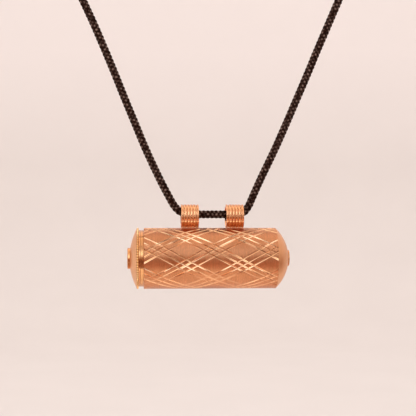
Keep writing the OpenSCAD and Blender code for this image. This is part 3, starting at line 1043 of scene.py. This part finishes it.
def make_bail(side, x):
    """Ring of half-round ribbed strip, seated on the barrel in a fillet of solder."""
    high = 0.13
    low = BAIL_R - high
    out = [(-BAIL_W / 2, BAIL_BORE + 0.04), (-BAIL_W / 2 + 0.02, low - 0.04)]
    n = 120
    for i in range(n + 1):
        q = -BAIL_W / 2 + 0.04 + (BAIL_W - 0.08) * i / n
        h = 0.0
        for c in RIBS:
            wide = 0.25 if abs(c) > 2 else 0.37
            if abs(q - c) < wide:
                h = max(h, 1 - abs((q - c) / wide) ** 4)
        out.append((q, low + high * h))
    out += [(BAIL_W / 2 - 0.02, low - 0.02), (BAIL_W / 2, BAIL_BORE + 0.04),
            (BAIL_W / 2 - 0.05, BAIL_BORE), (-BAIL_W / 2 + 0.05, BAIL_BORE)]
    v, f = lathe(out, 112, z=0.0, x=x)
    pts = np.array(v)
    # where the ring would cut into the barrel it lies on it
    rad = np.hypot(pts[:, 1], pts[:, 2] - AXIS_Z)
    inside = rad < BARREL_R + 0.004
    grow = (BARREL_R + 0.004) / rad[inside]
    pts[inside, 1] *= grow
    pts[inside, 2] = AXIS_Z + (pts[inside, 2] - AXIS_Z) * grow
    tags = [0] * len(f)

    # solder: a thin hollow seam in the wedge under the ring, on both sides
    reach = 1.40
    start = len(pts)
    cross = []
    for sgn in (-1, 1):
        top = np.array((sgn * reach, -math.sqrt((low + 0.02) ** 2 - reach**2)))
        foot = np.array((sgn * (reach + 0.22), AXIS_Z + math.sqrt(BARREL_R**2 - (reach + 0.22) ** 2) - 0.012))
        mid = np.array((sgn * (reach - 0.25), (top[1] + foot[1]) / 2))
        arc = []
        for k in range(7):
            t = k / 6
            arc.append((1 - t) ** 2 * top + 2 * t * (1 - t) * mid + t * t * foot)
        cross.append(arc)
    outline = cross[0] + [np.array((-0.5, -3.05)), np.array((0.5, -3.05))] + cross[1][::-1] + [np.array((0.4, -2.8)), np.array((-0.4, -2.8))]
    xs = [x + q for q in (-BAIL_W / 2 + 0.02, -BAIL_W / 2 + 0.16, -1.2, 0.0, 1.2, BAIL_W / 2 - 0.16, BAIL_W / 2 - 0.02)]
    solder = []
    for i, q in enumerate(xs):
        pull = 0.93 if i in (0, len(xs) - 1) else 1.0
        for y, z in outline:
            solder.append((q, y * pull, z))
    m = len(outline)
    fs = []
    for i in range(len(xs) - 1):
        for k in range(m):
            j = (k + 1) % m
            fs.append((start + i * m + k, start + i * m + j, start + (i + 1) * m + j, start + (i + 1) * m + k))
    fs.append([start + k for k in range(m)][::-1])
    fs.append([start + (len(xs) - 1) * m + k for k in range(m)])
    pts = np.concatenate([pts, np.array(solder)])
    f = f + fs
    tags += [1] * len(fs)
    # painted shade: the valleys between the ribs are darkened in colour
    rad = np.hypot(pts[:, 1], pts[:, 2])
    grime = np.where(rad > low - 0.01, np.clip((BAIL_R - 0.05 - rad) / 0.06, 0, 1) ** 1.5 * 0.27, 0.0)
    ob = add_mesh(f"ribbed_bail_{side}", pts, f, [MAT_BAIL, MAT_SOLDER], tags, sharp=60, grime=grime)
    place(ob, "case", "bail_copper", f"bail_{side}")


make_bail("left", -BAIL_X)
make_bail("right", BAIL_X)


# ---------------------------------------------------------------- rolled paper
def make_scroll():
    """One sheet rolled up: a spiral with real thickness, its layers a little out of line."""
    wraps, per = 9.5, 44
    n = int(wraps * per)
    r0, r1, thick = 1.14, SCROLL_R - 0.02, 0.10
    xs = np.linspace(-SCROLL_LEN / 2, SCROLL_LEN / 2, 7)
    verts, faces = [], []
    for i in range(n + 1):
        t = i / n
        a = TAU * wraps * t + 0.7
        r = r0 + (r1 - thick - r0) * t
        # ends of the layers step in towards the middle of the roll
        trim = 0.32 * (1 - t) ** 1.5 + 0.07 * math.sin(a * 0.5 + 1.0) ** 2
        for rr in (r, r + thick):
            for q in xs:
                x = SCROLL_X + q * (1 - trim / (SCROLL_LEN / 2))
                verts.append((x, rr * math.cos(a), SCROLL_Z + rr * math.sin(a)))
    m = len(xs)
    for i in range(n):
        a, b = i * 2 * m, (i + 1) * 2 * m
        for k in range(m - 1):
            faces.append((a + k, a + k + 1, b + k + 1, b + k))
            faces.append((a + m + k + 1, a + m + k, b + m + k, b + m + k + 1))
        faces.append((a, b, b + m, a + m))
        faces.append((a + m - 1, a + 2 * m - 1, b + 2 * m - 1, b + m - 1))
    for base in (0, n * 2 * m):
        for k in range(m - 1):
            q = (base + k, base + m + k, base + m + k + 1, base + k + 1)
            faces.append(q if base == 0 else q[::-1])
    place(add_mesh("paper_roll", verts, faces, [MAT_PAPER], sharp=45), "scroll", "paper", "paper_scroll")


def tube(path, r, sides=8):
    t, u, w = carried_frame(path, (1, 0, 0))
    ring = np.arange(sides) * TAU / sides
    pts = (path[:, None, :] + r * (np.cos(ring)[None, :, None] * u[:, None, :]
                                   + np.sin(ring)[None, :, None] * w[:, None, :]))
    n = len(path)
    faces = []
    for i in range(n - 1):
        for k in range(sides):
            j = (k + 1) % sides
            faces.append((i * sides + k, i * sides + j, (i + 1) * sides + j, (i + 1) * sides + k))
    faces.append([sides - 1 - k for k in range(sides)])
    faces.append([(n - 1) * sides + k for k in range(sides)])
    return pts.reshape(-1, 3), faces


def make_tie():
    """Thread wound three times round the roll and tied off on top."""
    q = np.linspace(0, 1, 260)
    a = TAU * 3.0 * q + math.pi / 2
    wind = np.stack([SCROLL_X + (q - 0.5) * 0.72, 3.645 * np.cos(a), SCROLL_Z + 3.645 * np.sin(a)], axis=1)
    parts = [tube(wind, 0.13)]
    b = np.linspace(0, TAU, 40)
    for s in (-1, 1):
        loop = np.stack([SCROLL_X + s * (0.42 + 0.40 * np.cos(b)) * 0.9, 0.34 * np.sin(b),
                         SCROLL_Z + 3.78 + 0.10 * np.sin(b * 2) + 0.05 * s], axis=1)
        parts.append(tube(loop[:-1], 0.11))
    verts, faces, shift = [], [], 0
    for p, f in parts:
        verts.append(p)
        faces += [[shift + k for k in g] for g in f]
        shift += len(p)
    place(add_mesh("tie_winding", np.concatenate(verts), faces, [MAT_TIE]), "scroll", "tie_thread", "scroll_tie")


make_scroll()
make_tie()


# ----------------------------------------------------------------- pale studio
FLOOR_Z = -95.0


def make_stage():
    """Round pale sweep: a flat floor that rises all round in one soft curve."""
    t = Tree("pale_sweep")
    n = t.noise(t.coords(0.02, 0.02, 0.02), 1.0, 2.0, 0.5)
    pale = t.ramp(n, [(0.3, (0.733, 0.684, 0.660)), (0.7, (0.748, 0.699, 0.675))])
    # painted light: the sweep's colour grows lighter from 40 mm to 150 mm up
    up = t.node("ShaderNodeSeparateXYZ")
    t.put(up.inputs[0], t.coords(0.0, 0.0, 1.0))
    pale = t.mix(t.span(up.outputs["Z"], 0.0, 1.0, 40.0, 150.0), pale, (0.860, 0.808, 0.792))
    mat = t.set(color=pale, metal=0.0, rough=0.9, spec=0.1)
    outline = [(0.0, FLOOR_Z), (60, FLOOR_Z), (150, FLOOR_Z), (300, FLOOR_Z), (450, FLOOR_Z)]
    for k in range(1, 13):
        a = math.pi / 2 * k / 12
        outline.append((450 + 250 * math.sin(a), FLOOR_Z + 250 * (1 - math.cos(a))))
    outline += [(705, 400.0), (710, 620.0)]
    segs = 96
    verts = [(0, 0, FLOOR_Z)]
    for r, z in outline[1:]:
        for k in range(segs):
            a = TAU * k / segs
            verts.append((r * math.cos(a), r * math.sin(a), z))
    faces = []
    for k in range(segs):
        j = (k + 1) % segs
        faces.append((0, 1 + k, 1 + j))
        for i in range(len(outline) - 2):
            a, b = 1 + i * segs + k, 1 + i * segs + j
            faces.append((a, a + segs, b + segs, b))
    ob = add_mesh("pale_floor", verts, faces, [mat], outward=False)


make_stage()


def fill_light(name, at, aim, wide, high, watts, tint):
    """Large soft light for the sweep and the cloth, kept out of the metal's reflections."""
    data = bpy.data.lights.new(name, "AREA")
    data.shape = "RECTANGLE"
    data.size, data.size_y = wide * MM, high * MM
    data.energy = watts
    data.color = tint
    ob = bpy.data.objects.new(name, data)
    scene.collection.objects.link(ob)
    ob.location = Vector(at) * MM
    ob.rotation_mode = "QUATERNION"
    ob.rotation_quaternion = (Vector(aim) - Vector(at)).to_track_quat("-Z", "Y")
    ob.visible_camera = False
    ob.visible_glossy = False


FILL_TINT = (1.0, 0.985, 0.97)
fill_light("fill_front", (-150, -420, 520), (0, 420, 160), 500, 400, 0.16, FILL_TINT)
fill_light("fill_back", (0, 120, 640), (0, 690, 300), 500, 120, 0.26, FILL_TINT)


def glow_panel(name, rho, e0, e1, x0, x1, stops, fade=0.15):
    """Curved studio panel that is seen only in reflections. Its light changes with the
    height angle, in degrees about the barrel's axis, and fades out at its sides."""
    t = Tree(name)
    uv = t.node("ShaderNodeUVMap", uv_map="panel")
    sep = t.node("ShaderNodeSeparateXYZ")
    t.put(sep.inputs[0], uv.outputs["UV"])
    tone = t.ramp(sep.outputs["Y"], [((e - e0) / (e1 - e0), tuple(q / 4 for q in c)) for e, c in stops])
    glow = t.node("ShaderNodeEmission")
    glow.inputs["Strength"].default_value = 4.0
    t.put(glow.inputs["Color"], tone)
    clear = t.node("ShaderNodeBsdfTransparent")
    side = t.math("MINIMUM", sep.outputs["X"], t.math("SUBTRACT", 1.0, sep.outputs["X"]))
    ends = t.math("MINIMUM", sep.outputs["Y"], t.math("SUBTRACT", 1.0, sep.outputs["Y"]))
    veil = t.math("MULTIPLY", t.span(side, 0.0, 1.0, 0.0, fade), t.span(ends, 0.0, 1.0, 0.0, 0.06))
    both = t.node("ShaderNodeMixShader")
    t.put(both.inputs[0], veil)
    t.put(both.inputs[1], clear.outputs[0])
    t.put(both.inputs[2], glow.outputs[0])
    t.put(t.nt.nodes["Material Output"].inputs["Surface"], both.outputs[0])
    n = 20
    verts, faces = [], []
    for i in range(n + 1):
        e = math.radians(e0 + (e1 - e0) * i / n)
        for x in (x0, x1):
            verts.append((x, -rho * math.cos(e), AXIS_Z + rho * math.sin(e)))
    for i in range(n):
        faces.append((2 * i, 2 * i + 1, 2 * i + 3, 2 * i + 2))
    ob = add_mesh(name, verts, faces, [t.mat], outward=False)
    layer = ob.data.uv_layers.new(name="panel")
    for loop in ob.data.loops:
        layer.data[loop.index].uv = (loop.vertex_index % 2, (loop.vertex_index // 2) / n)
    ob.visible_camera = False
    ob.visible_diffuse = False
    ob.visible_shadow = False
    ob.visible_transmission = False
    ob.visible_volume_scatter = False


def glow_card(name, corners, colour):
    """Flat card that is seen only in reflections."""
    t = Tree(name)
    glow = t.node("ShaderNodeEmission")
    glow.inputs["Color"].default_value = (*colour, 1.0)
    t.put(t.nt.nodes["Material Output"].inputs["Surface"], glow.outputs[0])
    ob = add_mesh(name, corners, [(0, 1, 2, 3)], [t.mat], outward=False)
    ob.visible_camera = False
    ob.visible_diffuse = False
    ob.visible_shadow = False
    ob.visible_transmission = False
    ob.visible_volume_scatter = False


# Glowing panels seen only in reflections, which paint the metal's reflections: a dim room in front with soft boxes in
# it, the dark camera stand below, a pale card under.
glow_panel("panel_room", 240, 2, 58, -330, 350,
           [(2, (0.40, 0.25, 0.18)), (10, (0.24, 0.16, 0.12)), (40, (0.26, 0.20, 0.16)), (58, (0.95, 0.87, 0.80))], 0.12)
glow_panel("panel_softbox", 185, 14, 66, -6, 31,
           [(14, (0.5, 0.45, 0.42)), (24, (1.3, 1.45, 1.6)), (31, (2.2, 2.6, 3.0)), (43, (2.5, 3.0, 3.5)),
            (56, (1.25, 1.3, 1.35)), (66, (0.9, 0.87, 0.85))], 0.08)
glow_panel("panel_collar", 185, 4, 52, -28, -10,
           [(4, (0.6, 0.55, 0.5)), (10, (1.2, 1.3, 1.4)), (16, (3.1, 3.7, 4.0)), (28, (3.1, 3.7, 4.0)), (35, (1.3, 1.4, 1.4)), (52, (0.7, 0.65, 0.6))], 0.10)
glow_panel("strip_left", 182, 2, 68, -124, -48,
           [(2, (0.9, 0.95, 1.0)), (7, (1.9, 2.15, 2.45)), (15, (2.4, 2.85, 3.3)), (28, (2.4, 2.85, 3.3)), (40, (1.85, 2.1, 2.3)), (58, (1.4, 1.4, 1.4)), (68, (0.9, 0.85, 0.8))], 0.10)
glow_panel("strip_right", 182, 2, 68, 74, 152,
           [(2, (0.85, 0.9, 0.95)), (7, (1.7, 1.95, 2.2)), (15, (2.15, 2.55, 2.95)), (28, (2.15, 2.55, 2.95)), (40, (1.7, 1.9, 2.1)), (58, (1.3, 1.3, 1.3)), (68, (0.9, 0.85, 0.8))], 0.10)
glow_panel("panel_stand", 128, -35, 3, -150, 165,
           [(-35, (1.30, 0.84, 0.65)), (-27, (1.26, 0.74, 0.55)), (-9, (1.40, 0.80, 0.585)), (3, (0.96, 0.62, 0.475))], 0.2)
glow_panel("side_left", 123, -40, -2, -112, -42,
           [(-40, (0.38, 0.185, 0.125)), (-28, (0.31, 0.145, 0.097)), (-10, (0.31, 0.145, 0.097)), (-2, (0.48, 0.28, 0.20))], 0.12)
glow_panel("side_right", 123, -40, -2, 42, 112,
           [(-40, (0.38, 0.185, 0.125)), (-28, (0.31, 0.145, 0.097)), (-10, (0.31, 0.145, 0.097)), (-2, (0.48, 0.28, 0.20))], 0.12)
glow_panel("under_left", 72, -128, -42, -80, -18,
           [(-128, (0.90, 0.66, 0.54)), (-72, (0.60, 0.37, 0.275)), (-42, (0.40, 0.21, 0.145))], 0.07)
glow_panel("under_right", 72, -128, -42, 19, 80,
           [(-128, (0.90, 0.66, 0.54)), (-72, (0.60, 0.37, 0.275)), (-42, (0.40, 0.21, 0.145))], 0.07)
glow_panel("strip_low", 116, -12, 6, 42, 102,
           [(-12, (0.65, 0.5, 0.42)), (-5, (0.95, 0.85, 0.78)), (2, (1.2, 1.15, 1.1)), (6, (1.0, 1.0, 1.0))], 0.12)
glow_panel("bail_shade", 119, -17, 3, -46, 66,
           [(-17, (0.52, 0.28, 0.195)), (-10, (0.36, 0.18, 0.12)), (-2, (0.36, 0.18, 0.12)), (3, (0.50, 0.34, 0.26))], 0.10)
glow_panel("panel_lens", 118, -36, 2, -34, -9,
           [(-36, (0.16, 0.045, 0.022)), (-28, (0.10, 0.028, 0.014)), (-9, (0.12, 0.036, 0.018)), (2, (0.38, 0.22, 0.15))], 0.2)
glow_panel("panel_card", 82, -128, -36, -31, 40,
           [(-128, (1.36, 1.36, 1.31)), (-106, (1.36, 1.40, 1.36)), (-88, (1.56, 1.64, 1.60)), (-72, (1.82, 1.94, 1.90)), (-60, (2.04, 2.18, 2.1)), (-36, (2.18, 2.2, 2.06))], 0.22)
glow_panel("panel_ceiling", 240, 60, 95, -80, 80,
           [(60, (1.10, 1.08, 1.02)), (70, (1.24, 1.25, 1.16)), (84, (1.38, 1.40, 1.29)), (95, (1.74, 1.80, 1.66))], 0.25)
glow_panel("ceiling_left", 240, 62, 102, -270, -80,
           [(62, (0.9, 0.84, 0.8)), (72, (0.82, 0.73, 0.67)), (90, (0.86, 0.77, 0.71)), (102, (1.15, 1.08, 1.04))], 0.15)
glow_panel("ceiling_right", 240, 62, 102, 80, 290,
           [(62, (0.9, 0.84, 0.8)), (72, (0.82, 0.73, 0.67)), (90, (0.86, 0.77, 0.71)), (102, (1.15, 1.08, 1.04))], 0.15)
glow_panel("panel_top", 240, 100, 140, -10, 42,
           [(100, (0.86, 0.86, 0.86)), (140, (0.80, 0.80, 0.80))], 0.2)
# dim glowing card seen only in reflections: a painted reflection of shade off to the right and below
glow_card("card_right", [(240, -150, -150), (240, 110, -150), (240, 110, -16), (240, -150, -16)], (0.36, 0.16, 0.10))

world = bpy.data.worlds.new("studio_air")
world.use_nodes = True
bg = world.node_tree.nodes["Background"]
bg.inputs["Color"].default_value = (1.0, 0.95, 0.92, 1.0)
bg.inputs["Strength"].default_value = 1.48
scene.world = world

# -------------------------------------------------------------------- finish
bpy.context.view_layer.update()
